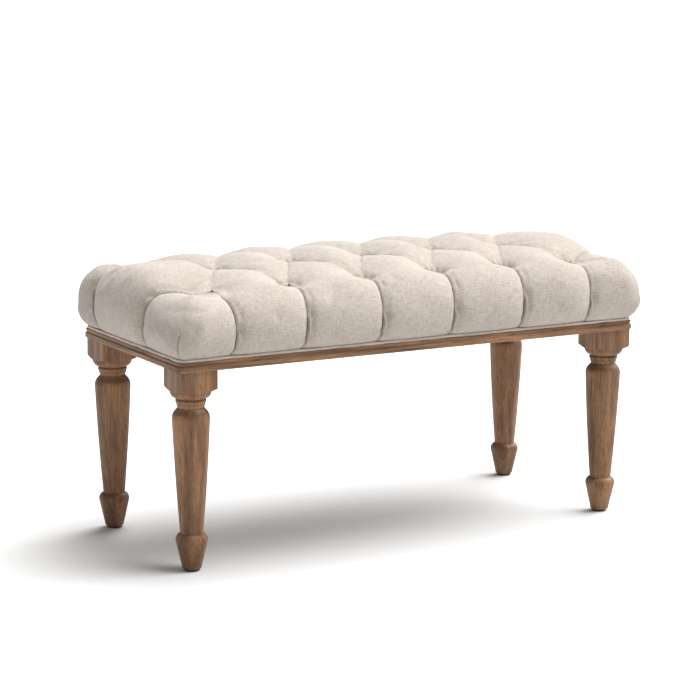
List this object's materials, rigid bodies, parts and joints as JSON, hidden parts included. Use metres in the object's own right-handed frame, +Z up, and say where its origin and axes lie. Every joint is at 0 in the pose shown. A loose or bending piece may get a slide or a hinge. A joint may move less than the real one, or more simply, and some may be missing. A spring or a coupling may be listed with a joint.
{
  "type": "upholstered bench",
  "caption": "Backless bench with a diamond-tufted linen cushion, self piping, a thin moulded oak surround and turned, tapered oak legs on small glides.",
  "frame": {"origin": "on the floor under the middle of the seat", "axes": "+X along the length of the bench, -Y towards the front, +Z up"},
  "size_m": [0.9328, 0.427, 0.49],
  "materials": {
    "oak": "weathered oak, oiled matt, with open vertical grain",
    "linen": "oatmeal linen weave with slubs",
    "fibre": "white polyester fibre",
    "foam": "cream polyurethane foam",
    "plywood": "bare birch plywood",
    "beech": "bare beech",
    "zinc_steel": "bright zinc plate",
    "glide_plastic": "black plastic",
    "black_cloth": "black non-woven cloth",
    "cotton_cord": "natural cotton",
    "waxed_twine": "waxed linen twine"
  },
  "bodies": {
    "root": {"back_left_glide": "glide_plastic", "back_left_leg": "oak", "back_right_glide": "glide_plastic", "back_right_leg": "oak", "back_surround": "oak", "centre_rail": "beech", "dust_cover": "black_cloth", "dust_cover_staples": "zinc_steel", "foam_core": "foam", "front_left_glide": "glide_plastic", "front_left_leg": "oak", "front_right_glide": "glide_plastic", "front_right_leg": "oak", "front_surround": "oak", "glide_nails": "zinc_steel", "left_surround": "oak", "leg_dowels": "beech", "leg_hanger_bolts": "zinc_steel", "leg_tee_nuts": "zinc_steel", "mitre_dowels": "beech", "piping": "linen", "piping_cord": "cotton_cord", "right_surround": "oak", "seat_cover": "linen", "seat_deck": "plywood", "seat_screws": "zinc_steel", "tufting_twines": "waxed_twine", "twine_washers": "zinc_steel", "wadding": "fibre"}
  },
  "joints": []
}
